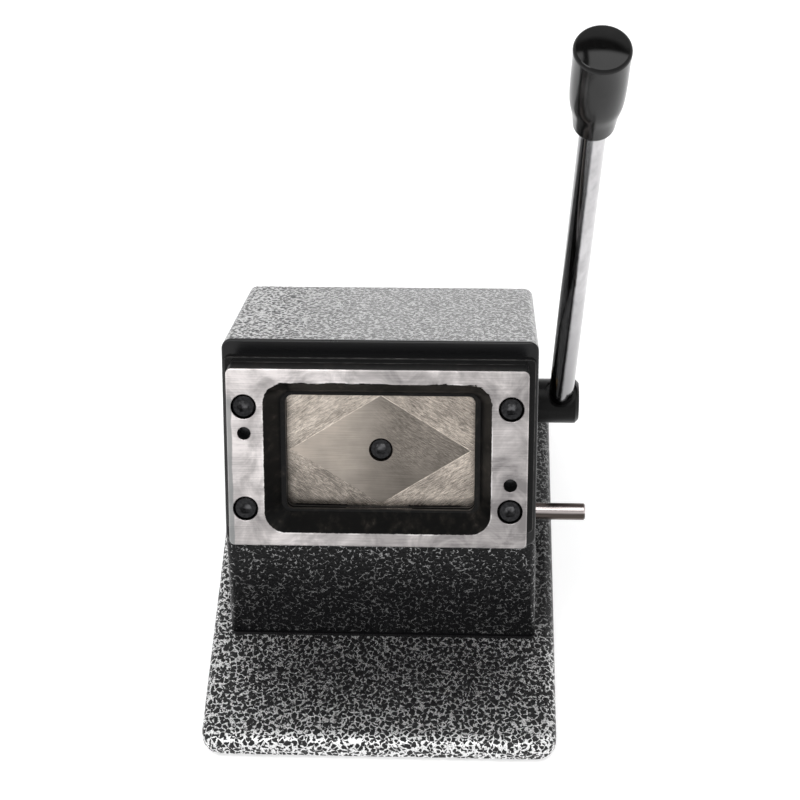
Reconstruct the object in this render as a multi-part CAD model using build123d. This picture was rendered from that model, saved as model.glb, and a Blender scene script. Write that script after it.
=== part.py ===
"""Stand card die cutter: a tilted punch head on a pedestal and base, worked by a side lever.

Row frame, in millimetres: +X to the operator's right, +Y away from the operator, +Z up.
The origin is on the ground under the middle of the base plate.  Everything in the head is
drawn in the head's own frame: x to the right, y up along the tilted die face, z out of the
die face towards the operator, with zero at the centre of the die plate's front face.
"""
from build123d import *
from math import cos, radians, sin, tan
import os

# ---- driving dimensions -------------------------------------------------------------------
CARD_WIDTH = 85.6          # standard identity card
CARD_HEIGHT = 54.0
CARD_RADIUS = 3.18

HEAD_TILT = 32.0           # the die face leans back by this many degrees
FACE_Y = -33.4             # centre of the die face in the row frame
FACE_Z = 127.0

BASE_WIDTH = 167.0
BASE_LENGTH = 222.0
BASE_THICK = 10.0
BASE_RADIUS = 10.0
MAT_THICK = 2.0
MAT_INSET = 3.0
BASE_TOP = MAT_THICK + BASE_THICK

PLATE_WIDTH = 135.0        # outline of the die plate and the guide plate
PLATE_HEIGHT = 83.0
PLATE_RADIUS = 2.5
DIE_THICK = 12.0
SLOT_THICK = 2.0
GUIDE_THICK = 10.0
FLANGE_WIDTH = 142.0       # wider back part of the guide plate
FLANGE_THICK = 3.0
WINDOW_WIDTH = 102.0       # mouth of the window at the die face
WINDOW_HEIGHT = 70.0
WINDOW_RADIUS = 9.5
DIE_LAND = 2.0             # straight cutting land at the back of the die
CARD_X = 0.9               # the card's opening sits this far right of the window's middle
PUNCH_FIT = 0.1            # gap all round the punch in the die and the guide

SCREW_X = 59.8             # the four die screws
SCREW_Y = 24.0
DOWEL_Y = 11.55
DOWEL_RADIUS = 3.0

HOUSING_WIDTH = 144.6
HOUSING_HEIGHT = 98.0
HOUSING_DEPTH = 113.0
HOUSING_RADIUS = 4.5
CAVITY_WIDTH = 115.0
CAVITY_HEIGHT = 66.4
LINER_THICK = 3.0
COVER_THICK = 3.0

PEDESTAL_FLARE = 1.8       # how much wider each side is at the base
PEDESTAL_WALL = 7.0
PEDESTAL_FRONT_TOP_Y = FACE_Y - 4.0
PEDESTAL_FRONT_BASE_Y = FACE_Y - 13.9
PEDESTAL_BACK_Y = FACE_Y + 89.0

SHAFT_DEPTH = 100.5        # lever shaft's axis behind the die face
SHAFT_RADIUS = 11.0
SHAFT_RIGHT = 94.8
SHAFT_LEFT = -69.0
BUSH_RADIUS = 15.0
BUSH_RECESS = 3.4          # the bushes' outer ends sit this deep in the housing's sides
RUNNING_GAP = 0.05
THROW = 7.2                # crank pin's distance from the shaft's axis
CRANK_RADIUS = 7.0
ROLLER_RADIUS = 10.0
YOKE_GAP = 0.25            # play each side of the roller in the ram's yoke
LEVER_TRAVEL = 64.0        # degrees from rest to the stop pin
LEVER_LEAN = 16.0          # degrees the lever leans to the operator at rest
ROD_X = 85.9
ROD_SIDE_LEAN = 0.42       # degrees the rod leans outwards
ROD_TOP = 276.0            # end of the rod, inside the grip, from the shaft's axis
ROD_FOOT = 8.0             # how far the rod passes the shaft's axis
ROD_RADIUS_BOTTOM = 6.1
ROD_RADIUS_TOP = 5.2
GRIP_LOW = 239.5           # lower end of the grip from the shaft's axis
GRIP_LENGTH = 50.9
GRIP_BORE = 5.5

STOP_PIN_RADIUS = 4.0
STOP_PIN_DEPTH = 38.0
STOP_PIN_Y = -36.4
STOP_PIN_RIGHT = 95.7

PUNCH_REST = 15.2          # punch face behind the die face at rest
PUNCH_BACK = 46.0
PUNCH_SHEAR = 1.2          # how far the corners of the punch face slope back
LOZENGE_SHARE = 0.95       # flat lozenge's diagonals as a share of the punch's sides
RAM_WIDTH = 108.0
RAM_BACK = 78.0
YOKE_CAP = 9.0
SPRING_X = 48.5
SPRING_RADIUS = 3.7        # to the middle of the wire

# ---- worked out ---------------------------------------------------------------------------
TILT = radians(HEAD_TILT)
HEAD = Plane(origin=(0, FACE_Y, FACE_Z), x_dir=(1, 0, 0), z_dir=(0, -cos(TILT), sin(TILT)))
SLOT_FRONT = -DIE_THICK
SLOT_BACK = SLOT_FRONT - SLOT_THICK
HOUSING_FRONT = SLOT_BACK - GUIDE_THICK
HOUSING_BACK = HOUSING_FRONT - HOUSING_DEPTH
RAM_HEIGHT = CAVITY_HEIGHT - 2 * LINER_THICK - 0.2
HALF_SWING = radians(LEVER_TRAVEL / 2)
STROKE = 2 * THROW * sin(HALF_SWING)
CRANK_Y = THROW * cos(HALF_SWING)
CRANK_Z = -SHAFT_DEPTH - THROW * sin(HALF_SWING)
YOKE_FRONT = CRANK_Z + ROLLER_RADIUS + YOKE_GAP
YOKE_BACK = CRANK_Z - ROLLER_RADIUS - YOKE_GAP
SCREW_PLACES = [(sx * SCREW_X, sy * SCREW_Y) for sx in (-1, 1) for sy in (-1, 1)]
DOWEL_PLACES = [(-SCREW_X, DOWEL_Y), (SCREW_X, -DOWEL_Y)]
PUNCH_DOWEL_X = (CARD_X - 25, CARD_X + 25)

MIN = (Align.CENTER, Align.CENTER, Align.MIN)
parts = {}


# ---- helpers ------------------------------------------------------------------------------
def block(low, high):
    """A box between two opposite corners."""
    size = [b - a for a, b in zip(low, high)]
    centre = [(a + b) / 2 for a, b in zip(low, high)]
    return Pos(*centre) * Box(*size)


def slab(width, height, radius, z_low, z_high):
    """A plate with rounded corners between two z levels."""
    return Pos(0, 0, z_low) * extrude(RectangleRounded(width, height, radius), z_high - z_low)


def post(x, y, radius, z_low, z_high):
    """A cylinder along z."""
    return Pos(x, y, z_low) * Cylinder(radius, z_high - z_low, align=MIN)


def bar(radius, x_low, x_high, y, z):
    """A cylinder along x."""
    return Pos(x_low, y, z) * Rot(0, 90, 0) * Cylinder(radius, x_high - x_low, align=MIN)


def socket_screw(size, length):
    """A socket head cap screw of thread size mm, its head's top at z = 0, pointing to -z."""
    head_radius = 0.83 * size
    head = Pos(0, 0, -size) * Cylinder(head_radius, size, align=MIN)
    head = chamfer(head.edges().sort_by(Axis.Z)[-1], 0.08 * size)
    shank = Pos(0, 0, -size - length) * Cylinder(size / 2, length + 0.01, align=MIN)
    shank = chamfer(shank.edges().sort_by(Axis.Z)[0], 0.1 * size)
    socket = RegularPolygon(0.42 * size, 6, major_radius=False)
    return head + shank - Pos(0, 0, -0.55 * size) * extrude(socket, size)


def flat_screw(size, length):
    """A countersunk screw with a cross recess, its head's top at z = 0, pointing to -z."""
    head = Pos(0, 0, -0.5 * size) * Cone(0.5 * size, size, 0.5 * size, align=MIN)
    shank = Pos(0, 0, -length) * Cylinder(size / 2, length - 0.4 * size, align=MIN)
    slot = Box(1.3 * size, 0.25 * size, 0.5 * size)
    return head + shank - slot - Rot(0, 0, 90) * slot


def card_shape(gap, z_low, z_high):
    """The card's outline, grown by a gap, between two z levels."""
    outline = slab(CARD_WIDTH + 2 * gap, CARD_HEIGHT + 2 * gap, CARD_RADIUS + gap, z_low, z_high)
    return Pos(CARD_X, 0, 0) * outline


def keep(name, shape, head=False):
    """Store a sub-part, moved from the head's frame to the row frame if head is set."""
    parts[name] = HEAD.location * shape if head else shape


# ---- base ---------------------------------------------------------------------------------
def make_base():
    """Base plate with softened edges, the rubber mat under it and its four screws."""
    plate = slab(BASE_WIDTH, BASE_LENGTH, BASE_RADIUS, MAT_THICK, BASE_TOP)
    plate = fillet(plate.faces().sort_by(Axis.Z)[-1].edges(), 4.5)
    plate = fillet(plate.faces().sort_by(Axis.Z)[0].edges(), 2.0)
    mat = slab(BASE_WIDTH - 2 * MAT_INSET, BASE_LENGTH - 2 * MAT_INSET,
               BASE_RADIUS - MAT_INSET, 0, MAT_THICK)
    screws = []
    for x, y in BASE_SCREW_PLACES:
        head_space = post(x, y, 7.2, MAT_THICK - 0.1, MAT_THICK + 8.5)
        plate -= head_space + post(x, y, 4.2, MAT_THICK, BASE_TOP + 1)
        screws.append(Pos(x, y, MAT_THICK + 0.2) * Rot(180, 0, 0) * socket_screw(8, 12))
    keep("base_plate", plate)
    keep("rubber_mat", mat)
    keep("base_screws", Compound(children=screws))


BASE_SCREW_PLACES = [(sx * 60, y) for sx in (-1, 1) for y in (FACE_Y, FACE_Y + 54)]
PEDESTAL_SCREW_PLACES = [(sx * 38, z) for sx in (-1, 1) for z in (-46, -86)]


def wedge(inset, floor_z):
    """The pedestal's outer form, or with an inset the hollow inside it."""
    reach = 80.0
    lean = (PEDESTAL_FRONT_TOP_Y - PEDESTAL_FRONT_BASE_Y) / 60.0
    low_front = PEDESTAL_FRONT_BASE_Y + inset
    high_front = low_front + lean * (reach - BASE_TOP)
    back = PEDESTAL_BACK_Y - inset
    low_half = HOUSING_WIDTH / 2 + PEDESTAL_FLARE - inset
    high_half = HOUSING_WIDTH / 2 - inset
    low = Plane.XY.offset(floor_z) * Pos(0, (low_front + back) / 2) * Rectangle(
        2 * low_half, back - low_front)
    high = Plane.XY.offset(reach) * Pos(0, (high_front + back) / 2) * Rectangle(
        2 * high_half, back - high_front)
    form = loft([low, high])
    roof = -HOUSING_HEIGHT / 2 - inset
    above = HEAD.location * block((-100, roof, -220), (100, roof + 150, 60))
    return form - above


def make_pedestal():
    """Hollow cast wedge between the base plate and the underside of the housing."""
    body = wedge(0, BASE_TOP)
    upright = [edge for edge in body.edges() if edge.bounding_box().size.Z > 50
               and edge.center().Y < PEDESTAL_FRONT_TOP_Y + 10]
    body = fillet(upright, 2.5)
    body -= wedge(PEDESTAL_WALL, BASE_TOP - 1)
    for x, y in BASE_SCREW_PLACES:
        boss = post(x, y, 9, BASE_TOP, 90) & wedge(0.5, BASE_TOP)
        body += boss
        body -= post(x, y, 4.05, BASE_TOP - 1, BASE_TOP + 12)
    screws = []
    roof = -HOUSING_HEIGHT / 2
    for x, z in PEDESTAL_SCREW_PLACES:
        hole = Pos(x, roof + 1, z) * Rot(90, 0, 0) * Cylinder(3.3, PEDESTAL_WALL + 2, align=MIN)
        body -= HEAD.location * hole
        screws.append(Pos(x, roof - PEDESTAL_WALL - 6, z) * Rot(90, 0, 0) * socket_screw(6, 16))
    keep("pedestal", body)
    keep("pedestal_screws", Compound(children=screws), head=True)


# ---- housing ------------------------------------------------------------------------------
def make_housing():
    """Thick walled box that guides the ram, carries the shaft and holds the plates."""
    body = slab(HOUSING_WIDTH, HOUSING_HEIGHT, HOUSING_RADIUS, HOUSING_BACK, HOUSING_FRONT)
    body = fillet(body.faces().sort_by(Axis.Z)[-1].edges(), 1.2)
    body = fillet(body.faces().sort_by(Axis.Z)[0].edges(), 1.5)
    body -= slab(CAVITY_WIDTH, CAVITY_HEIGHT, 2, HOUSING_BACK - 1, HOUSING_FRONT + 1)
    body -= bar(BUSH_RADIUS, -100, 100, 0, -SHAFT_DEPTH)
    body -= bar(STOP_PIN_RADIUS + 0.02, 60, 100, STOP_PIN_Y, -STOP_PIN_DEPTH)
    for x, y in SCREW_PLACES:
        body -= post(x, y, 3.05, HOUSING_FRONT - 18, HOUSING_FRONT + 1)
    for x, y in DOWEL_PLACES:
        body -= post(x, y, DOWEL_RADIUS + 0.02, HOUSING_FRONT - 14, HOUSING_FRONT + 1)
    for x, y in COVER_SCREW_PLACES:
        body -= post(x, y, 2.05, HOUSING_BACK - 1, HOUSING_BACK + 10)
    for x, z in PEDESTAL_SCREW_PLACES:
        body -= Pos(x, -HOUSING_HEIGHT / 2 - 1, z) * Rot(-90, 0, 0) * Cylinder(3.05, 12, align=MIN)
    keep("housing", body, head=True)


COVER_SCREW_PLACES = [(sx * 61.5, sy * 32) for sx in (-1, 1) for sy in (-1, 1)]


def make_rear_cover():
    """Flat cover over the open back of the housing, held by four small screws."""
    top = HOUSING_BACK
    cover = slab(133, 80, 5, top - COVER_THICK, top)
    cover = chamfer(cover.faces().sort_by(Axis.Z)[0].edges(), 0.6)
    screws = []
    for x, y in COVER_SCREW_PLACES:
        cover -= post(x, y, 2.2, top - COVER_THICK - 1, top + 1)
        screws.append(Pos(x, y, top - COVER_THICK - 4) * Rot(180, 0, 0) * socket_screw(4, 8))
    keep("rear_cover", cover, head=True)
    keep("rear_cover_screws", Compound(children=screws), head=True)


def make_liners():
    """Bronze wear strips that guide the ram above, below and at both sides."""
    front, back = -44.0, -84.0
    x = CAVITY_WIDTH / 2
    y = CAVITY_HEIGHT / 2
    keep("liner_top", block((-34, y - LINER_THICK, back), (34, y, front)), head=True)
    keep("liner_bottom", block((-34, -y, back), (34, -y + LINER_THICK, front)), head=True)
    keep("liner_left", block((-x, -20, back), (-x + LINER_THICK, 20, front)), head=True)
    keep("liner_right", block((x - LINER_THICK, -20, back), (x, 20, front)), head=True)


# ---- die set ------------------------------------------------------------------------------
def make_die_plate():
    """Die plate: tapered window in front, straight card-shaped cutting land behind."""
    plate = slab(PLATE_WIDTH, PLATE_HEIGHT, PLATE_RADIUS, -DIE_THICK, 0)
    plate = chamfer(plate.faces().sort_by(Axis.Z)[-1].edges(), 0.5)
    land_front = -DIE_THICK + DIE_LAND
    mouth = RectangleRounded(WINDOW_WIDTH, WINDOW_HEIGHT, WINDOW_RADIUS)
    throat = RectangleRounded(CARD_WIDTH + 4.8, CARD_HEIGHT + 2.4, CARD_RADIUS + 1.5)
    plate -= loft([Pos(CARD_X, 0, land_front) * throat, mouth])
    plate -= card_shape(PUNCH_FIT, -DIE_THICK - 1, land_front + 0.1)
    for x, y in SCREW_PLACES:
        plate -= post(x, y, 5.75, -6.6, 1) + post(x, y, 3.3, -DIE_THICK - 1, 0)
        plate -= Pos(x, y, -0.3) * Cone(5.7, 6.05, 0.35, align=MIN)
    for x, y in DOWEL_PLACES:
        plate -= post(x, y, DOWEL_RADIUS + 0.02, -DIE_THICK - 1, 1)
        plate -= Pos(x, y, -0.25) * Cone(DOWEL_RADIUS, DOWEL_RADIUS + 0.3, 0.3, align=MIN)
    keep("die_plate", plate, head=True)
    screws = [Pos(x, y, -0.5) * socket_screw(6, 34) for x, y in SCREW_PLACES]
    dowels = [post(x, y, DOWEL_RADIUS, HOUSING_FRONT - 12, -7.5) for x, y in DOWEL_PLACES]
    keep("die_screws", Compound(children=screws), head=True)
    keep("die_dowels", Compound(children=dowels), head=True)


def drill_stack(shape):
    """Cut the die screws' and dowels' holes through a plate or spacer."""
    for x, y in SCREW_PLACES:
        shape -= post(x, y, 3.3, HOUSING_FRONT - 1, 0)
    for x, y in DOWEL_PLACES:
        shape -= post(x, y, DOWEL_RADIUS + 0.02, HOUSING_FRONT - 1, 0)
    return shape


def make_slot_and_guide():
    """Guide plate behind the sheet slot, the two spacers that keep the slot open, the stop."""
    flange = slab(FLANGE_WIDTH, PLATE_HEIGHT, PLATE_RADIUS, HOUSING_FRONT,
                  HOUSING_FRONT + FLANGE_THICK)
    flange = chamfer(flange.faces().sort_by(Axis.Z)[-1].edges(), 0.5)
    plate = slab(PLATE_WIDTH, PLATE_HEIGHT - 1, PLATE_RADIUS, HOUSING_FRONT, SLOT_BACK)
    plate = chamfer(plate.faces().sort_by(Axis.Z)[-1].edges(), 0.5) + flange
    plate -= card_shape(PUNCH_FIT, HOUSING_FRONT - 1, SLOT_BACK + 1)
    plate = drill_stack(plate)
    half = PLATE_WIDTH / 2
    inner = WINDOW_WIDTH / 2 + 1.5
    for side, name in ((-1, "slot_spacer_left"), (1, "slot_spacer_right")):
        low_x, high_x = sorted((side * inner, side * (half - 0.5)))
        strip = block((low_x, -PLATE_HEIGHT / 2 + 0.5, SLOT_BACK),
                      (high_x, PLATE_HEIGHT / 2 - 0.5, SLOT_FRONT))
        keep(name, drill_stack(strip), head=True)
    stop = block((-15, -PLATE_HEIGHT / 2, SLOT_BACK), (15, -CARD_HEIGHT / 2 - 0.4, SLOT_FRONT))
    screws = []
    for x in (-9, 9):
        stop -= Pos(x, -35, SLOT_BACK) * Cone(1.65, 3.6, SLOT_THICK, align=MIN)
        plate -= post(x, -35, 1.55, SLOT_BACK - 7, SLOT_BACK + 1)
        screws.append(Pos(x, -35, SLOT_FRONT - 0.4) * flat_screw(3, 7))
    keep("guide_plate", plate, head=True)
    keep("sheet_stop", stop, head=True)
    keep("sheet_stop_screws", Compound(children=screws), head=True)


# ---- ram ----------------------------------------------------------------------------------
def make_punch():
    """Card-shaped punch: flat lozenge in the middle, four corners sloping back to shear."""
    body = card_shape(0, -PUNCH_BACK, -PUNCH_REST)
    half_w = CARD_WIDTH / 2
    half_h = CARD_HEIGHT / 2
    reach = half_w * half_h / (half_w ** 2 + half_h ** 2) ** 0.5
    slope = PUNCH_SHEAR / reach
    share = LOZENGE_SHARE / 2
    for sx in (-1, 1):
        for sy in (-1, 1):
            out = Vector(sx * half_h, sy * half_w, 0).normalized()
            normal = Vector(out.X * slope, out.Y * slope, 1).normalized()
            middle = Vector(CARD_X + sx * half_w * share, sy * half_h * share, -PUNCH_REST)
            facet = Plane(origin=middle, x_dir=Vector(-out.Y, out.X, 0), z_dir=normal)
            body -= facet.location * Box(90, 90, 10, align=MIN) & post(CARD_X, 0, 60, -30, 0)
    body -= post(CARD_X, 0, 5.5, -PUNCH_REST - 7.5, 0)
    body -= post(CARD_X, 0, 3.3, -PUNCH_BACK - 1, 0)
    for x in PUNCH_DOWEL_X:
        body -= post(x, 0, DOWEL_RADIUS + 0.02, -PUNCH_BACK - 1, -PUNCH_BACK + 9)
    keep("punch", body, head=True)
    keep("punch_screw", Pos(CARD_X, 0, -PUNCH_REST - 1.2) * socket_screw(6, 38), head=True)
    dowels = [post(x, 0, DOWEL_RADIUS, -PUNCH_BACK - 8, -PUNCH_BACK + 8) for x in PUNCH_DOWEL_X]
    keep("punch_dowels", Compound(children=dowels), head=True)


def make_ram():
    """Ram block with a yoke for the crank behind it, closed by a bolted cap."""
    yoke_half = 13.7
    rail_top, rail_bottom = 27.0, -15.0
    slot_top, slot_bottom = 17.6, -5.6
    body = block((-RAM_WIDTH / 2, -RAM_HEIGHT / 2, -RAM_BACK), (RAM_WIDTH / 2, RAM_HEIGHT / 2, -PUNCH_BACK))
    body = chamfer(body.edges().filter_by(Axis.Z), 1.5)
    body += block((-yoke_half, rail_bottom, YOKE_BACK), (yoke_half, rail_top, -RAM_BACK))
    body -= block((-yoke_half - 1, slot_bottom, YOKE_BACK - 1), (yoke_half + 1, slot_top, YOKE_FRONT))
    body -= post(CARD_X, 0, 3.05, -PUNCH_BACK - 19, -PUNCH_BACK + 1)
    for x in PUNCH_DOWEL_X:
        body -= post(x, 0, DOWEL_RADIUS + 0.02, -PUNCH_BACK - 9, -PUNCH_BACK + 1)
    for x in (-SPRING_X, SPRING_X):
        body -= post(x, 0, SPRING_RADIUS + 1.05, -PUNCH_BACK - 16, -PUNCH_BACK + 1)
    cap = block((-yoke_half, rail_bottom, YOKE_BACK - YOKE_CAP), (yoke_half, rail_top, YOKE_BACK))
    cap = chamfer(cap.faces().sort_by(Axis.Z)[0].edges(), 1.0)
    screws = []
    for x in (-7, 7):
        for y in ((rail_top + slot_top) / 2, (rail_bottom + slot_bottom) / 2):
            cap -= post(x, y, 2.7, YOKE_BACK - YOKE_CAP - 1, YOKE_BACK + 1)
            cap -= post(x, y, 4.4, YOKE_BACK - YOKE_CAP - 1, YOKE_BACK - YOKE_CAP + 5.2)
            body -= post(x, y, 2.55, YOKE_BACK - 1, YOKE_BACK + 13)
            top = YOKE_BACK - YOKE_CAP + 0.2
            screws.append(Pos(x, y, top) * Rot(180, 0, 0) * socket_screw(5, 14))
    keep("ram_block", body, head=True)
    keep("yoke_cap", cap, head=True)
    keep("yoke_screws", Compound(children=screws), head=True)


def make_springs():
    """Two return springs between the guide plate and the bottoms of the ram's pockets."""
    wire = 0.65
    low = -PUNCH_BACK - 16 + wire + 0.05
    high = HOUSING_FRONT - wire - 0.05
    path = Helix(pitch=(high - low) / 8, height=high - low, radius=SPRING_RADIUS)
    section = Plane(origin=path @ 0, z_dir=path % 0) * Circle(wire)
    coil = sweep(section, path, is_frenet=True)
    for x, name in ((-SPRING_X, "return_spring_left"), (SPRING_X, "return_spring_right")):
        keep(name, Pos(x, 0, low) * coil, head=True)


# ---- lever --------------------------------------------------------------------------------
def make_shaft():
    """Lever shaft with its crank pin, the split roller on the pin, spacers and bushes."""
    z = -SHAFT_DEPTH
    crank_half = 14.5
    web = 4.0
    web_end = crank_half + web
    right = bar(SHAFT_RADIUS, web_end, SHAFT_RIGHT, 0, z)
    right = chamfer(right.edges().sort_by(Axis.X)[-1], 1.8)
    left = bar(SHAFT_RADIUS, SHAFT_LEFT, -web_end, 0, z)
    left = chamfer(left.edges().sort_by(Axis.X)[0], 1.5)
    shaft = right + left
    for x_low, x_high in ((crank_half, web_end), (-web_end, -crank_half)):
        shaft += bar(14.4, x_low, x_high, 0, z)
    shaft += bar(CRANK_RADIUS, -crank_half, crank_half, CRANK_Y, CRANK_Z)
    shaft -= rod_frame() * (Pos(0, 0, -ROD_FOOT) * Cylinder(ROD_RADIUS_BOTTOM + 0.02, 60, align=MIN))
    shaft -= rod_frame() * (Pos(0, 0, SHAFT_RADIUS - 3.0) * Cylinder(7.9, 20, align=MIN))
    keep("lever_shaft", shaft, head=True)

    roller = bar(ROLLER_RADIUS, -13.4, 13.4, CRANK_Y, CRANK_Z)
    roller -= bar(CRANK_RADIUS + 0.02, -20, 20, CRANK_Y, CRANK_Z)
    roller -= Pos(0, CRANK_Y, CRANK_Z) * Box(60, 60, 0.3)
    keep("crank_sleeve", roller, head=True)

    inner_end = web_end + 0.2
    wall = CAVITY_WIDTH / 2
    outer_end = HOUSING_WIDTH / 2
    for side, word in ((-1, "left"), (1, "right")):
        low_x, high_x = sorted((side * inner_end, side * (wall - 0.3)))
        spacer = bar(14.0, low_x, high_x, 0, z) - bar(SHAFT_RADIUS + 0.02, low_x - 1, high_x + 1, 0, z)
        keep("shaft_spacer_" + word, spacer, head=True)
        low_x, high_x = sorted((side * wall, side * (outer_end - BUSH_RECESS)))
        bush = bar(BUSH_RADIUS, low_x, high_x, 0, z)
        bush -= bar(SHAFT_RADIUS + RUNNING_GAP, low_x - 1, high_x + 1, 0, z)
        keep("bush_" + word, bush, head=True)

    x = -HOUSING_WIDTH / 2
    plug = bar(18, x - 3, x, 0, z)
    plug = fillet(plug.edges().sort_by(Axis.X)[0], 2)
    keep("bore_cover", plug, head=True)


def rod_frame():
    """Frame on the shaft's axis with z along the lever rod, at rest."""
    angle = radians(HEAD_TILT + LEVER_LEAN)
    lean = tan(radians(ROD_SIDE_LEAN))
    along = Vector(lean, cos(angle), sin(angle)).normalized()
    return Plane(origin=(ROD_X, 0, -SHAFT_DEPTH), x_dir=(1, 0, -lean / sin(angle)),
                 z_dir=along).location


def make_lever():
    """Slightly tapered steel rod with a moulded grip on its end, and the stop pin."""
    rod = Pos(0, 0, -ROD_FOOT) * Cone(ROD_RADIUS_BOTTOM, ROD_RADIUS_TOP, ROD_FOOT + ROD_TOP, align=MIN)
    keep("lever_rod", rod_frame() * rod, head=True)
    bore_end = ROD_TOP - GRIP_LOW + 0.5
    rim = GRIP_LENGTH - 2.9
    dome_edge = 9.8
    dome_rise = GRIP_LENGTH - rim - 1.9
    dome_radius = (dome_edge ** 2 + dome_rise ** 2) / (2 * dome_rise)
    with BuildSketch(Plane.XZ) as outline:
        with BuildLine():
            Line((0, bore_end), (GRIP_BORE, bore_end))
            Line((GRIP_BORE, bore_end), (GRIP_BORE, 0))
            ThreePointArc((GRIP_BORE, 0), (7.3, 0.9), (8.3, 3.4))
            Spline((8.3, 3.4), (8.75, 8.0), (9.3, 12.0), (10.15, 16.5), (10.6, 22.0), (10.75, 34.0), (10.9, rim))
            ThreePointArc((10.9, rim), (10.65, rim + 1.2), (dome_edge, rim + 1.9))
            RadiusArc((dome_edge, rim + 1.9), (0, GRIP_LENGTH), -dome_radius)
            Line((0, GRIP_LENGTH), (0, bore_end))
        make_face()
    grip = revolve(outline.sketch, Axis.Z)
    keep("lever_grip", rod_frame() * (Pos(0, 0, GRIP_LOW) * grip), head=True)
    pin = bar(STOP_PIN_RADIUS, 61, STOP_PIN_RIGHT, STOP_PIN_Y, -STOP_PIN_DEPTH)
    pin = chamfer(pin.edges().sort_by(Axis.X)[-1], 0.6)
    keep("stop_pin", pin, head=True)


def main():
    make_base()
    make_pedestal()
    make_housing()
    make_rear_cover()
    make_liners()
    make_die_plate()
    make_slot_and_guide()
    make_punch()
    make_ram()
    make_springs()
    make_shaft()
    make_lever()
    os.makedirs("parts", exist_ok=True)
    for name, shape in parts.items():
        export_step(shape, f"parts/{name}.step")
    print(len(parts), "nodes, stroke", round(STROKE, 3), "mm")


main()
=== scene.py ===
"""Looks of the stand card die cutter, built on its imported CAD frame.

Every length is in metres.  In the row frame a place is across (x), away (y) and height (z).
The head is tilted, so its materials work in the head's own frame: across to the right, up along
the die face and out of it, all zero at the middle of the die face.
"""
from math import cos, radians, sin

import bpy
from mathutils import Euler, Matrix, Vector


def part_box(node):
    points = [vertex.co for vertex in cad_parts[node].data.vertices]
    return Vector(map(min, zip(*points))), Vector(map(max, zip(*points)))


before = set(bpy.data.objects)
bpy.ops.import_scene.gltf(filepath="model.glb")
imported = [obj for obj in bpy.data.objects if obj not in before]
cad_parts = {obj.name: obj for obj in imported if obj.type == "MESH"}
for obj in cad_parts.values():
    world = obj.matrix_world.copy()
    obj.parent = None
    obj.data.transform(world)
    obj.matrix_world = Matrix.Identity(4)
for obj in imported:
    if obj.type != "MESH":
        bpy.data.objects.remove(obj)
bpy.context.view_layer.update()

MM = 0.001
HEAD_TILT = radians(32.0)
FACE_NORMAL = Vector((0, -cos(HEAD_TILT), sin(HEAD_TILT)))


# ---- places -------------------------------------------------------------------------------
def middle(node):
    """Centre of a CAD node's box."""
    low, high = (Vector(corner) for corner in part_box(node))
    return (low + high) / 2


DIE_THICK = 12 * MM
FACE_CENTRE = middle("die_plate") + FACE_NORMAL * (DIE_THICK / 2)

# The head, in its own frame.
DIE_HALF_WIDTH = 67.5 * MM
WINDOW_HALF_WIDTH = 51 * MM
WINDOW_HALF_HEIGHT = 35 * MM
WINDOW_CORNER = 9.5 * MM
CARD_HALF_WIDTH = 42.8 * MM
CARD_HALF_HEIGHT = 27.0 * MM
CARD_OFFSET = 0.9 * MM
DIE_SCREW_LEVEL = -0.5 * MM
PUNCH_SCREW_LEVEL = -16.4 * MM
GUIDE_FRONT = -14 * MM
GUIDE_EDGES = (GUIDE_FRONT - 7.26 * MM, GUIDE_FRONT - 0.26 * MM)
HOUSING_FRONT = -24 * MM

# The stand, in the row frame.
PEDESTAL_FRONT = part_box("pedestal")[0][1]
BASE_LEFT, BASE_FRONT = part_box("base_plate")[0][:2]
BASE_TOP = 12 * MM


# ---- node building ------------------------------------------------------------------------
def grey(level):
    """Colour with no tint."""
    return (level,) * 3


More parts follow.
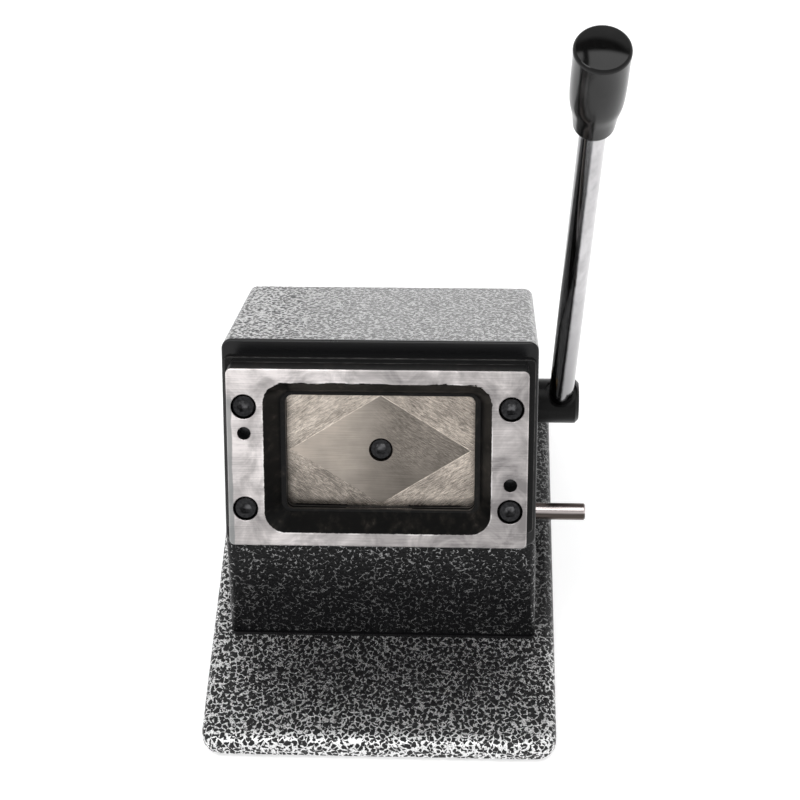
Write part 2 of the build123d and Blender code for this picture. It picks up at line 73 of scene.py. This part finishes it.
class Nodes:
    """A small builder for one node tree, where a value is a number or another node's output."""

    def __init__(self, tree):
        self.tree = tree

    def add(self, kind):
        """New node."""
        return self.tree.nodes.new(kind)

    def link(self, source, target):
        """Join an output to an input, or set the input where the source is a plain value."""
        if isinstance(source, bpy.types.NodeSocket):
            self.tree.links.new(source, target)
        elif isinstance(source, tuple) and len(source) == 3 and target.type == "RGBA":
            target.default_value = (*source, 1)
        else:
            target.default_value = source

    def math(self, operation, *values):
        """One arithmetic step."""
        node = self.add("ShaderNodeMath")
        node.operation = operation
        for value, socket in zip(values, node.inputs):
            self.link(value, socket)
        return node.outputs["Value"]

    def plus(self, first, second):
        """Sum of two values."""
        return self.math("ADD", first, second)

    def minus(self, first, second):
        """First value less the second."""
        return self.math("SUBTRACT", first, second)

    def times(self, first, second):
        """Product of two values."""
        return self.math("MULTIPLY", first, second)

    def larger(self, first, second):
        """The larger of two values."""
        return self.math("MAXIMUM", first, second)

    def raised(self, value, pattern, amount):
        """A value plus some of a pattern."""
        return self.math("MULTIPLY_ADD", pattern, amount, value)

    def swayed(self, value, pattern, amount):
        """A value moved up and down by a pattern that goes from 0 to 1."""
        return self.raised(value, self.minus(pattern, 0.5), amount)

    def blend(self, share, low, high):
        """Low where the share is 0, high where it is 1."""
        return self.math("MULTIPLY_ADD", self.minus(high, low), share, low)

    def distance(self, value, place):
        """How far a value is from a place."""
        return self.math("ABSOLUTE", self.minus(value, place))

    def step(self, value, low, high):
        """Smooth rise from 0 at low to 1 at high."""
        node = self.add("ShaderNodeMapRange")
        node.interpolation_type = "SMOOTHSTEP"
        self.link(value, node.inputs["Value"])
        node.inputs["From Min"].default_value = low
        node.inputs["From Max"].default_value = high
        return node.outputs["Result"]

    def fall(self, value, low, high):
        """Smooth fall from 1 at low to 0 at high."""
        return self.minus(1.0, self.step(value, low, high))

    def near(self, value, place, close, clear):
        """1 up to the close distance from a place, falling to 0 at the clear distance."""
        return self.fall(self.distance(value, place), close, clear)

    def band(self, value, low, high, soft):
        """1 between low and high, with soft ends."""
        return self.minus(self.step(value, low - soft, low + soft),
                          self.step(value, high - soft, high + soft))

    def split(self, vector):
        """The three parts of a vector."""
        node = self.add("ShaderNodeSeparateXYZ")
        self.link(vector, node.inputs["Vector"])
        return node.outputs["X"], node.outputs["Y"], node.outputs["Z"]


class Shader(Nodes):
    """A builder round one principled material."""

    def __init__(self, name):
        self.material = bpy.data.materials.new(name)
        self.material.use_nodes = True
        super().__init__(self.material.node_tree)
        self.principled = self.tree.nodes["Principled BSDF"]
        place = self.add("ShaderNodeTexCoord")
        self.position = place.outputs["Object"]
        self.facing = place.outputs["Normal"]

    def vector_math(self, operation, *values):
        """One step of arithmetic on vectors."""
        node = self.add("ShaderNodeVectorMath")
        node.operation = operation
        for value, socket in zip(values, node.inputs):
            self.link(value, socket)
        return node.outputs["Vector"]

    def turn(self, vector, rotation, stretch):
        """A position turned and then stretched."""
        mapping = self.add("ShaderNodeMapping")
        self.link(vector, mapping.inputs["Vector"])
        mapping.inputs["Rotation"].default_value = rotation
        return self.vector_math("MULTIPLY", mapping.outputs["Vector"], stretch)

    def coords(self, stretch=(1.0, 1.0, 1.0), rotation=(0, 0, 0), shift=(0, 0, 0)):
        """Row-frame position, shifted, turned and then stretched."""
        return self.turn(self.vector_math("SUBTRACT", self.position, shift), rotation, stretch)

    def head_coords(self, stretch=(1.0, 1.0, 1.0)):
        """Position in the head's frame, stretched."""
        return self.coords(stretch, (HEAD_TILT - radians(90), 0, 0), FACE_CENTRE)

    def facing_up(self, low, high):
        """0 where the surface leans far over, 1 where it faces up."""
        return self.step(self.split(self.facing)[2], low, high)

    def noise(self, vector, scale=1.0, detail=4.0, roughness=0.5, distortion=0.0):
        """Noise value from 0 to 1."""
        node = self.add("ShaderNodeTexNoise")
        self.link(vector, node.inputs["Vector"])
        node.inputs["Scale"].default_value = scale
        node.inputs["Detail"].default_value = detail
        node.inputs["Roughness"].default_value = roughness
        node.inputs["Distortion"].default_value = distortion
        return node.outputs["Fac"]

    def cell_edges(self, vector, scale):
        """Distance to the nearest edge between random cells."""
        node = self.add("ShaderNodeTexVoronoi")
        node.feature = "DISTANCE_TO_EDGE"
        self.link(vector, node.inputs["Vector"])
        node.inputs["Scale"].default_value = scale
        return node.outputs["Distance"]

    def warp(self, vector, scale, amount):
        """Push a position about by noise."""
        noise = self.add("ShaderNodeTexNoise")
        self.link(vector, noise.inputs["Vector"])
        noise.inputs["Scale"].default_value = scale
        noise.inputs["Detail"].default_value = 2.0
        return self.vector_math("MULTIPLY_ADD", noise.outputs["Color"], (amount,) * 3, vector)

    def spread(self, value, low, high):
        """Straight change from low to high as the value goes from 0 to 1, and none past those."""
        node = self.add("ShaderNodeMapRange")
        self.link(value, node.inputs["Value"])
        node.inputs["To Min"].default_value = low
        node.inputs["To Max"].default_value = high
        return node.outputs["Result"]

    def ramp(self, value, stops):
        """Colour from a value through a list of (position, colour)."""
        node = self.add("ShaderNodeValToRGB")
        self.link(value, node.inputs["Fac"])
        elements = node.color_ramp.elements
        while len(elements) < len(stops):
            elements.new(0.5)
        for element, (position, colour) in zip(elements, stops):
            element.position = position
            element.color = (*colour, 1)
        return node.outputs["Color"]

    def mix(self, share, first, second):
        """Blend two colours."""
        node = self.add("ShaderNodeMix")
        node.data_type = "RGBA"
        self.link(share, node.inputs["Factor"])
        self.link(first, node.inputs[6])
        self.link(second, node.inputs[7])
        return node.outputs[2]

    def bump(self, height, strength, distance, before=None):
        """Raise the surface by a height pattern, on top of an earlier bump if there is one."""
        node = self.add("ShaderNodeBump")
        node.inputs["Strength"].default_value = strength
        node.inputs["Distance"].default_value = distance
        self.link(height, node.inputs["Height"])
        if before is not None:
            self.link(before, node.inputs["Normal"])
        return node.outputs["Normal"]

    def surface(self, base, roughness, metallic=0.0, normal=None, specular=0.5):
        """Set the principled shader and give back its material."""
        sockets = self.principled.inputs
        self.link(base, sockets["Base Color"])
        self.link(roughness, sockets["Roughness"])
        self.link(metallic, sockets["Metallic"])
        self.link(specular, sockets["Specular IOR Level"])
        if normal is not None:
            self.link(normal, sockets["Normal"])
        return self.material


# ---- camera, floor and light --------------------------------------------------------------
def make_camera():
    """A long lens above and in front, looking steeply down at the die face."""
    pitch = radians(47.86)
    yaw = radians(3.29)
    roll = radians(1.78)
    from_face = Vector((42.7, -550.3, 649.4)) * MM
    data = bpy.data.cameras.new("camera")
    data.sensor_width = 36.0
    data.lens = 85.5
    data.clip_start = 0.05
    data.clip_end = 20.0
    camera = bpy.data.objects.new("camera", data)
    bpy.context.collection.objects.link(camera)
    aim = Euler((radians(90) - pitch, 0, yaw), "XYZ").to_matrix()
    turn = Matrix.Rotation(-roll, 3, "Z")
    camera.location = FACE_CENTRE + from_face
    camera.rotation_euler = (aim @ turn).to_euler()
    bpy.context.scene.camera = camera


def make_floor():
    """Plain white table top that runs out of sight."""
    mesh = bpy.data.meshes.new("floor")
    half = 6.0
    corners = [(-half, -half, 0), (half, -half, 0), (half, half, 0), (-half, half, 0)]
    mesh.from_pydata(corners, [], [(0, 1, 2, 3)])
    floor = bpy.data.objects.new("floor", mesh)
    bpy.context.collection.objects.link(floor)
    paint = Shader("floor_white")
    grain = paint.noise(paint.coords(), 8.0, detail=2.0)
    paint.surface(base=paint.ramp(grain, [(0.3, (0.58, 0.58, 0.585)), (0.7, grey(0.61))]),
                  roughness=0.7, specular=0.1)
    paint.principled.inputs["Emission Color"].default_value = (1, 1, 1, 1)
    paint.principled.inputs["Emission Strength"].default_value = 0.56
    mesh.materials.append(paint.material)


def make_world():
    """Light tent: white all round to sixty degrees up, dark overhead, two bright panels above."""
    world = bpy.data.worlds.new("studio")
    bpy.context.scene.world = world
    world.use_nodes = True
    world.node_tree.nodes.clear()
    tent = Nodes(world.node_tree)
    across, away, height = tent.split(tent.add("ShaderNodeTexCoord").outputs["Generated"])
    ring = tent.band(height, -2.0, 0.865, 0.03)
    ring_light = tent.times(ring, tent.minus(0.92, tent.times(height, 0.30)))
    over = tent.math("ARCTAN2", height, tent.times(away, -1.0))
    reach = tent.band(over, radians(66), radians(106), radians(2))
    left = tent.band(across, -0.50, -0.185, 0.012)
    right = tent.band(across, -0.115, 0.48, 0.012)
    panels = tent.times(reach, tent.plus(left, right))
    light = tent.plus(tent.plus(ring_light, tent.times(panels, 2.8)), 0.04)
    sky = tent.add("ShaderNodeBackground")
    sky.inputs["Color"].default_value = (1, 1, 1, 1)
    tent.link(light, sky.inputs["Strength"])
    out = tent.add("ShaderNodeOutputWorld")
    tent.link(sky.outputs["Background"], out.inputs["Surface"])


def add_softbox(name, place, target, size, power):
    """One square soft light aimed at a point."""
    data = bpy.data.lights.new(name, "AREA")
    data.shape = "SQUARE"
    data.size = size
    data.energy = power
    light = bpy.data.objects.new(name, data)
    bpy.context.collection.objects.link(light)
    light.location = place
    light.rotation_euler = (Vector(target) - Vector(place)).to_track_quat("-Z", "Y").to_euler()


# ---- hammertone paint ---------------------------------------------------------------------
def hammertone(name, veins, silver, plain_black, painted_highlight=None, shine=0.4, dullness=0.14):
    """Black paint drawn up in blobs, with silver veins between them.

    veins is the narrowest and the widest vein, as shares of a blob's width, and below 0 there is
    none.  silver is the veins' darkest and lightest grey, and dullness the paint's least
    roughness.  plain_black is a function that gives 1 where there are no veins: on plain black
    paint, along dark lines at joints and in painted shade.  The last function gives 1 where a
    painted highlight lightens the silver and widens the veins.
    """
    shader = Shader(name)
    row = shader.coords()
    # painted highlight: where this is 1 the veins are wider and lighter, standing in for light on that
    # part
    highlight_share = painted_highlight(shader) if painted_highlight else 0.0
    painted = shader.minus(1.0, plain_black(shader))
    edge = shader.cell_edges(shader.warp(row, 360.0, 2.6 * MM), 395.0)
    edge = shader.swayed(edge, shader.noise(row, 1100.0, detail=2.0), 0.20)
    patch = shader.noise(row, 480.0, detail=2.0)
    narrow, broad = veins
    width = shader.raised(narrow, shader.step(patch, 0.3, 0.7), broad - narrow)
    width = shader.raised(width, highlight_share, 0.045)
    vein = shader.times(shader.step(shader.minus(width, edge), -0.015, 0.03), painted)
    fleck = shader.noise(row, 1900.0, detail=2.0)
    dark, light = silver
    metal = shader.ramp(fleck, [(0.38, grey(dark)), (0.58, grey(light))])
    # painted highlight: silver lightened towards near white
    metal = shader.mix(shader.times(highlight_share, 0.5), metal, grey(0.92))
    base = shader.mix(vein, (0.004, 0.004, 0.0045), metal)
    roughness = shader.raised(dullness, fleck, 0.16)
    roughness = shader.raised(roughness, highlight_share, 0.30)
    relief = shader.times(shader.step(edge, 0.0, 0.35), painted)
    normal = shader.bump(relief, 0.40, 0.25 * MM)
    normal = shader.bump(fleck, 0.25, 0.05 * MM, before=normal)
    return shader.surface(base, roughness, vein, normal, specular=shine)


def front_of_housing(shader):
    """1 on the housing's front end, which is plain black to a ragged line."""
    out = shader.split(shader.head_coords())[2]
    ragged = shader.noise(shader.coords(), 600.0)
    level = shader.raised(out, ragged, 1.2 * MM)
    return shader.step(level, HOUSING_FRONT - 1.6 * MM, HOUSING_FRONT - 1.2 * MM)


def lit_left_of_top(shader):
    """1 on the left of the housing's top, which painted light makes lighter."""
    across = shader.split(shader.coords())[0]
    return shader.times(shader.fall(across, -66 * MM, -6 * MM), shader.facing_up(0.6, 0.8))


def lit_edges_of_base(shader):
    """Painted highlight: 1 along the base plate's front edge, and up to 0.35 behind it and along the
    left edge.
    """
    across, away = shader.split(shader.coords())[:2]
    lip_end = BASE_FRONT + 6 * MM
    lip = shader.fall(away, lip_end, lip_end + 3 * MM)
    front = shader.fall(away, lip_end, lip_end + 24 * MM)
    left = shader.fall(across, BASE_LEFT, BASE_LEFT + 24 * MM)
    return shader.larger(lip, shader.times(shader.larger(front, left), 0.35))


def dark_line_and_shade_of_base(shader):
    """1 in a dark line along the pedestal's front foot, and up to 0.75 as painted shade right of the
    head.
    """
    across, away = shader.split(shader.coords())[:2]
    joint = shader.near(away, PEDESTAL_FRONT - 0.4 * MM, 0.7 * MM, 1.5 * MM)
    joint = shader.times(joint, shader.near(across, 0.0, 73 * MM, 75 * MM))
    # painted shade of the head and lever on the base's right
    right = shader.step(across, 66 * MM, 76 * MM)
    behind_front = shader.step(away, -70 * MM, -30 * MM)
    return shader.larger(joint, shader.times(shader.times(right, behind_front), 0.75))


def foot_of_pedestal(shader):
    """1 in a narrow band at the pedestal's foot, where it meets the base plate, which is kept plain
    black.
    """
    height = shader.split(shader.coords())[2]
    return shader.fall(height, BASE_TOP + 1.0 * MM, BASE_TOP + 3.2 * MM)


# ---- die, punch and guide -----------------------------------------------------------------
def black_enamel():
    """Brushed-on semi-gloss black paint, with broken lines of bare metal along the guide plate's two
    front edges that are partly wear and partly painted highlight.
    """
    shader = Shader("black_enamel")
    row = shader.coords()
    streaks = shader.noise(shader.head_coords((60.0, 700.0, 700.0)), detail=3.0)
    dust = shader.noise(row, 1800.0, detail=1.0)
    paint = shader.ramp(dust, [(0.45, grey(0.004)), (0.8, grey(0.012))])
    out = shader.split(shader.head_coords())[2]
    # bare metal along the edges, also standing in as the edges' painted highlight
    patchy_glint = shader.step(shader.noise(row, 160.0, roughness=0.7), 0.38, 0.66)
    edges = [shader.near(out, edge, 0.10 * MM, 0.22 * MM) for edge in GUIDE_EDGES]
    worn_edge_glint = shader.times(shader.plus(*edges), patchy_glint)
    base = shader.mix(worn_edge_glint, paint, (0.085, 0.082, 0.08))
    roughness = shader.spread(streaks, 0.22, 0.42)
    normal = shader.bump(streaks, 0.35, 0.15 * MM)
    return shader.surface(base, roughness, worn_edge_glint, normal, specular=0.2)


def distance_past_window(shader, across, up):
    """How far a place is outside the window's rounded mouth."""
    past = []
    for place, half in ((across, WINDOW_HALF_WIDTH), (up, WINDOW_HALF_HEIGHT)):
        past.append(shader.larger(shader.minus(shader.distance(place, 0.0), half - WINDOW_CORNER), 0.0))
    squares = shader.plus(*(shader.times(part, part) for part in past))
    return shader.minus(shader.math("SQRT", squares), WINDOW_CORNER)


def past_smeared_paint(shader, up, past_window, ragged):
    """1 past the black paint's edge round the window, which is smeared outwards at the top."""
    smear = shader.noise(shader.head_coords((120.0, 700.0, 700.0)), roughness=0.65)
    top_only = shader.step(up, 20 * MM, 34 * MM)
    reach = shader.times(shader.raised(-1.5 * MM, smear, 3.2 * MM), top_only)
    reach = shader.plus(reach, shader.spread(ragged, -0.2 * MM, 0.5 * MM))
    return shader.step(shader.minus(past_window, reach), -0.1 * MM, 0.1 * MM)


def dull_left_strip(shader, across, up):
    """1 on a wavy strip along the die face's left edge, which ends below the top."""
    waver = shader.noise(shader.coords(), 90.0, detail=3.0)
    in_from_edge = shader.raised(shader.plus(across, DIE_HALF_WIDTH - 3.6 * MM), waver, 2.6 * MM)
    strip = shader.fall(in_from_edge, -0.2 * MM, 0.3 * MM)
    return shader.times(strip, shader.fall(up, 26 * MM, 31 * MM))


def die_face():
    """Ground bare steel on the front, black enamel on the sides, holes and window."""
    shader = Shader("die_steel_and_enamel")
    row = shader.coords()
    across, up, out = shader.split(shader.head_coords())
    past_window = distance_past_window(shader, across, up)
    ragged = shader.noise(row, 700.0, detail=3.0)
    in_front = shader.step(shader.raised(out, ragged, 0.35 * MM), -0.40 * MM, -0.26 * MM)
    bare = shader.times(in_front, past_smeared_paint(shader, up, past_window, ragged))

    grind = shader.noise(shader.head_coords((45.0, 2200.0, 300.0)), roughness=0.6)
    cloud = shader.noise(row, 60.0, detail=5.0, roughness=0.6, distortion=0.8)
    tone = shader.plus(shader.times(grind, 0.30), shader.times(cloud, 0.90))
    # painted light: the steel is lighter towards the upper left
    lit_slant = shader.minus(shader.times(up, 1.3), shader.times(across, 1.5))
    tone = shader.plus(tone, shader.minus(lit_slant, 0.135))
    steel = shader.ramp(tone, [(0.28, (0.26, 0.245, 0.245)), (0.48, (0.52, 0.49, 0.485)),
                               (0.68, (0.88, 0.83, 0.82))])
    # painted highlight: a thin bright line just outside the window's mouth, where its edge would catch
    # the light
    rim_highlight = shader.near(past_window, 0.45 * MM, 0.05 * MM, 0.35 * MM)
    rim_highlight = shader.times(rim_highlight, shader.step(cloud, 0.47, 0.57))
    steel = shader.mix(shader.times(rim_highlight, 0.7), steel, (0.95, 0.93, 0.92))
    steel = shader.mix(shader.times(dull_left_strip(shader, across, up), 0.8), steel, (0.26, 0.27, 0.27))

    drips = shader.noise(shader.head_coords((260.0, 260.0, 40.0)), roughness=0.65)
    enamel = shader.ramp(drips, [(0.50, grey(0.0035)), (0.62, (0.010, 0.009, 0.008)),
                                 (0.74, (0.032, 0.028, 0.025))])
    base = shader.mix(bare, enamel, steel)
    roughness = shader.blend(bare, 0.32, shader.spread(tone, 0.22, 0.55))
    cross = shader.noise(shader.head_coords((900.0, 90.0, 300.0)), detail=3.0)
    normal = shader.bump(shader.raised(grind, cross, 0.4), 0.14, 0.05 * MM)
    shaded_top = shader.step(up, 28 * MM, 31 * MM)
    return shader.surface(base, roughness, bare, normal, specular=shader.spread(shaded_top, 0.16, 0.03))


def scratches(shader, position, angle):
    """Fine scratches that climb across the face at an angle."""
    along = shader.turn(position, (0, 0, -angle), (240.0, 4000.0, 50.0))
    coarse = shader.noise(along, detail=5.0, roughness=0.7)
    fine = shader.noise(along, 2.0, detail=3.0, roughness=0.7)
    return shader.raised(shader.times(fine, 0.65), coarse, 0.35)


def lozenge_tone(shader, across, up, down_hill):
    """Quiet level grain, with painted light that makes it lighter on the left and towards the top, and
    slanting scratches on the upper right.
    """
    quiet = shader.noise(shader.head_coords((60.0, 2600.0, 80.0)))
    tone = shader.swayed(0.08, quiet, 0.24)
    # painted light: lighter on the left and towards the top
    tone = shader.raised(tone, shader.fall(across, -22 * MM, 12 * MM), 0.36)
    tone = shader.raised(tone, up, 3.0)
    scratched = shader.times(shader.step(across, -10 * MM, 14 * MM), shader.step(up, -16 * MM, 2 * MM))
    return shader.raised(tone, shader.times(shader.minus(down_hill, 0.5), scratched), 2.2)


def facet_tone(shader, across, up, up_hill, down_hill, edge_highlight):
    """Scratches along the lozenge's sides, with painted light brightest at the upper left and darkest at
    the lower left, and a painted highlight along the lozenge's edge.
    """
    across_up = shader.times(across, up)
    same_sign = shader.step(across_up, -MM * MM, MM * MM)
    tone = shader.swayed(0.38, shader.blend(same_sign, up_hill, down_hill), 3.1)
    # painted light and shade that differ from corner to corner
    tone = shader.plus(tone, shader.raised(shader.times(up, 4.0), across_up, -160.0))
    blotches = shader.noise(shader.coords(), 110.0, detail=5.0, roughness=0.6)
    tone = shader.swayed(tone, blotches, 0.8)
    # painted highlight along the lozenge's edge, left out at the lower left
    not_low_left = shader.larger(shader.step(up, -4 * MM, 4 * MM), shader.step(across, -4 * MM, 8 * MM))
    return shader.raised(tone, shader.times(edge_highlight, not_low_left), 0.25)


def punch_steel():
    """Warm ground steel: a quiet dark lozenge between brighter scratched corner facets, partly as
    painted light, and a painted dark shadow line along the bottom edge.
    """
    shader = Shader("punch_steel")
    across, up = shader.split(shader.head_coords())[:2]
    across = shader.minus(across, CARD_OFFSET)
    share_across = shader.math("DIVIDE", shader.distance(across, 0.0), CARD_HALF_WIDTH)
    share_up = shader.math("DIVIDE", shader.distance(up, 0.0), CARD_HALF_HEIGHT)
    share = shader.plus(share_across, share_up)
    facet = shader.step(share, 0.945, 0.955)
    edge_highlight = shader.near(share, 0.960, 0.003, 0.012)
    position = shader.warp(shader.head_coords(), 40.0, 1.6 * MM)
    up_hill = scratches(shader, position, radians(32.2))
    down_hill = scratches(shader, position, radians(-32.2))
    lozenge = lozenge_tone(shader, across, up, down_hill)
    corners = facet_tone(shader, across, up, up_hill, down_hill, edge_highlight)
    tone = shader.blend(facet, lozenge, corners)
    tone = shader.swayed(tone, shader.noise(shader.coords(), 48.0), 0.5)
    base = shader.ramp(tone, [(0.0, (0.135, 0.12, 0.105)), (0.38, (0.37, 0.33, 0.29)),
                              (0.62, (0.62, 0.54, 0.468)), (0.95, (0.95, 0.87, 0.78))])
    # painted shade: a dark line along the punch's bottom edge, left and right of the middle, where the
    # die wall's shadow shows
    shaded_low_edge = shader.fall(up, 0.25 * MM - CARD_HALF_HEIGHT, 0.55 * MM - CARD_HALF_HEIGHT)
    beside = shader.distance(across, -1.5 * MM)
    ends = shader.times(shader.step(beside, 13.5 * MM, 14.5 * MM), shader.fall(beside, 37 * MM, 40 * MM))
    base = shader.mix(shader.times(shaded_low_edge, ends), base, grey(0.01))
    roughness = shader.spread(tone, 0.30, 0.48)
    normal = shader.bump(tone, 0.2, 0.05 * MM)
    return shader.surface(base, roughness, 1.0, normal)


# ---- other metals, plastic and rubber -----------------------------------------------------
def turned_metal(name, dark, light, smooth, rough, metallic=1.0):
    """Metal with fine even grain, from dark and smooth to light and rough."""
    shader = Shader(name)
    row = shader.coords()
    fineness = 900.0
    grain = shader.noise(row, fineness, detail=3.0)
    cloud = shader.noise(row, fineness / 14, detail=2.0)
    tone = shader.raised(shader.times(grain, 0.4), cloud, 0.6)
    base = shader.ramp(tone, [(0.3, dark), (0.7, light)])
    roughness = shader.spread(tone, smooth, rough)
    normal = shader.bump(grain, 0.08, 0.04 * MM)
    return shader.surface(base, roughness, metallic, normal)


def screw_oxide(name, head_level):
    """Black oxide on socket screws that face out of the head, with a painted highlight deep in the
    socket.
    """
    shader = Shader(name)
    row = shader.coords()
    grain = shader.noise(row, 900.0, detail=3.0)
    out = shader.split(shader.head_coords())[2]
    deep = shader.fall(out, head_level - 3.2 * MM, head_level - 2.6 * MM)
    # painted highlight on the socket's floor
    patchy_glint = shader.times(deep, shader.step(shader.noise(row, 420.0), 0.35, 0.60))
    base = shader.ramp(grain, [(0.3, (0.014, 0.014, 0.015)), (0.7, (0.040, 0.040, 0.042))])
    base = shader.mix(patchy_glint, base, (0.15, 0.15, 0.155))
    roughness = shader.spread(grain, 0.16, 0.28)
    normal = shader.bump(grain, 0.08, 0.04 * MM)
    return shader.surface(base, roughness, 0.9, normal)


def polished_pin():
    """Polished pin with the dark and bright lines that a bright bar shows along its length."""
    shader = Shader("pin_steel")
    marks = shader.noise(shader.coords((60.0, 1500.0, 1500.0)), detail=3.0)
    low, high = (Vector(corner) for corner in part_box("stop_pin"))
    axis = (low + high) / 2
    radius = (high.z - low.z) / 2
    away, height = shader.split(shader.coords(shift=axis))[1:]
    around = shader.raised(shader.times(height, 0.67 / radius), away, 0.74 / radius)
    around = shader.raised(around, marks, 0.2)
    base = shader.ramp(shader.raised(0.45, around, 0.5), [
        (0.03, (0.20, 0.17, 0.16)), (0.14, (0.055, 0.045, 0.04)),
        (0.36, (0.06, 0.05, 0.045)), (0.47, (0.60, 0.54, 0.53)),
        (0.76, (0.46, 0.41, 0.40)), (0.86, (0.08, 0.06, 0.055))])
    roughness = shader.spread(marks, 0.10, 0.22)
    normal = shader.bump(marks, 0.06, 0.03 * MM)
    return shader.surface(base, roughness, 1.0, normal)


def chrome():
    """Polished plating with long marks, with painted reflections: darker low down and dark on the front
    left.
    """
    shader = Shader("chrome")
    height = shader.split(shader.coords())[2]
    marks = shader.noise(shader.coords((900.0, 900.0, 25.0)), detail=3.0)
    haze = shader.noise(shader.coords((160.0, 160.0, 70.0)), detail=5.0, roughness=0.65)
    # painted reflection: the bright plating is darker low down
    bright = shader.ramp(haze, [(0.32, (0.41, 0.40, 0.41)), (0.66, (0.56, 0.55, 0.56))])
    bright = shader.mix(shader.step(height, 0.08, 0.22), (0.29, 0.285, 0.29), bright)
    # painted reflection: dark where the surface faces front left, towards dark surroundings
    dark_reflection = shader.ramp(marks, [(0.35, (0.05, 0.05, 0.052)), (0.65, (0.11, 0.11, 0.112))])
    dark_reflection = shader.mix(shader.step(height, 0.20, 0.30), dark_reflection, (0.17, 0.17, 0.175))
    side, behind = shader.split(shader.facing)[:2]
    side = shader.raised(side, marks, 0.12)
    lit_facing = shader.larger(shader.step(side, -0.02, 0.16), shader.step(behind, -0.15, 0.45))
    base = shader.mix(lit_facing, dark_reflection, bright)
    roughness = shader.spread(marks, 0.06, 0.17)
    normal = shader.bump(marks, 0.05, 0.03 * MM)
    return shader.surface(base, roughness, 1.0, normal)


def moulded_plastic(name, smooth, rough, end_roughness=None):
    """Black moulded plastic with a faint flow texture, polished on its upper end if that is given."""
    shader = Shader(name)
    flow = shader.noise(shader.coords(), 160.0, detail=3.0, distortion=0.4)
    base = shader.ramp(flow, [(0.35, grey(0.002)), (0.7, (0.005, 0.0048, 0.0048))])
    roughness = shader.spread(flow, smooth, rough)
    if end_roughness is not None:
        roughness = shader.blend(shader.facing_up(0.50, 0.72), roughness, end_roughness)
    normal = shader.bump(flow, 0.05, 0.2 * MM)
    return shader.surface(base, roughness, normal=normal, specular=0.27)


def rubber():
    """Matt black rubber."""
    shader = Shader("mat_rubber")
    grain = shader.noise(shader.coords(), 1500.0, detail=2.0)
    base = shader.ramp(grain, [(0.3, grey(0.018)), (0.7, (0.035, 0.035, 0.034))])
    normal = shader.bump(grain, 0.3, 0.1 * MM)
    return shader.surface(base, shader.spread(grain, 0.7, 0.9), normal=normal, specular=0.3)


# ---- every CAD node's finish --------------------------------------------------------------
def dress(nodes, material):
    """Give CAD nodes a material."""
    for name in nodes:
        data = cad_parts[name].data
        if not data.materials:
            data.materials.append(material)
        for index in range(len(data.materials)):
            data.materials[index] = material


def dress_stand():
    """Paint and rubber of the base, the pedestal and the housing."""
    # The three copies of the paint differ in silver partly as painted light: brightest on the base,
    # dimmer on the housing, and dimmest and least shiny on the pedestal as painted shade under the head.
    dress(["base_plate"], hammertone("hammertone_base", (-0.035, 0.165), (0.28, 0.93),
                                     dark_line_and_shade_of_base, lit_edges_of_base, dullness=0.20))
    dress(["housing", "rear_cover"], hammertone("hammertone_head", (-0.01, 0.20), (0.17, 0.45),
                                                front_of_housing, lit_left_of_top))
    dress(["pedestal"], hammertone("hammertone_shaded", (-0.075, 0.09), (0.10, 0.37),
                                   foot_of_pedestal, shine=0.15))
    dress(["rubber_mat"], rubber())


def dress_head():
    """Die, punch, guide and the works inside."""
    dress(["die_plate"], die_face())
    dress(["punch"], punch_steel())
    dress(["guide_plate", "slot_spacer_left", "slot_spacer_right"], black_enamel())
    bright = turned_metal("bright_steel", (0.40, 0.37, 0.36), (0.62, 0.58, 0.57), 0.10, 0.22)
    dress(["punch_dowels", "sheet_stop"], bright)
    machined = turned_metal("machined_steel", grey(0.38), grey(0.55), 0.3, 0.45)
    dress(["ram_block", "yoke_cap", "shaft_spacer_left", "shaft_spacer_right"], machined)
    bronze = turned_metal("bronze", (0.50, 0.33, 0.15), (0.70, 0.50, 0.26), 0.28, 0.42)
    dress(["bush_left", "bush_right", "liner_top", "liner_bottom", "liner_left", "liner_right",
           "crank_sleeve"], bronze)
    wire = turned_metal("spring_wire", (0.35, 0.35, 0.36), (0.55, 0.55, 0.56), 0.25, 0.4)
    dress(["return_spring_left", "return_spring_right"], wire)


def dress_screws():
    """Black screws and dowels."""
    oxide = turned_metal("black_oxide", (0.022, 0.022, 0.023), (0.055, 0.055, 0.057), 0.14, 0.26,
                         metallic=0.9)
    dress(["base_screws", "pedestal_screws", "rear_cover_screws", "sheet_stop_screws",
           "yoke_screws", "die_dowels"], oxide)
    dress(["die_screws"], screw_oxide("die_screw_oxide", DIE_SCREW_LEVEL))
    dress(["punch_screw"], screw_oxide("punch_screw_oxide", PUNCH_SCREW_LEVEL))


def dress_lever():
    """Lever, its shaft and stop pin, and the cover on the shaft's other end."""
    satin = turned_metal("satin_black", grey(0.008), grey(0.016), 0.30, 0.42, metallic=0.9)
    dress(["lever_shaft"], satin)
    dress(["stop_pin"], polished_pin())
    dress(["lever_rod"], chrome())
    dress(["lever_grip"], moulded_plastic("grip_gloss", 0.11, 0.17, end_roughness=0.09))
    dress(["bore_cover"], moulded_plastic("cover_plastic", 0.25, 0.4))


bpy.context.scene.view_settings.view_transform = "Standard"
make_camera()
make_world()
make_floor()
add_softbox("key", place=(-0.7, -0.5, 1.9), target=(0, 0, 0.1), size=0.7, power=6.0)
dress_stand()
dress_head()
dress_screws()
dress_lever()
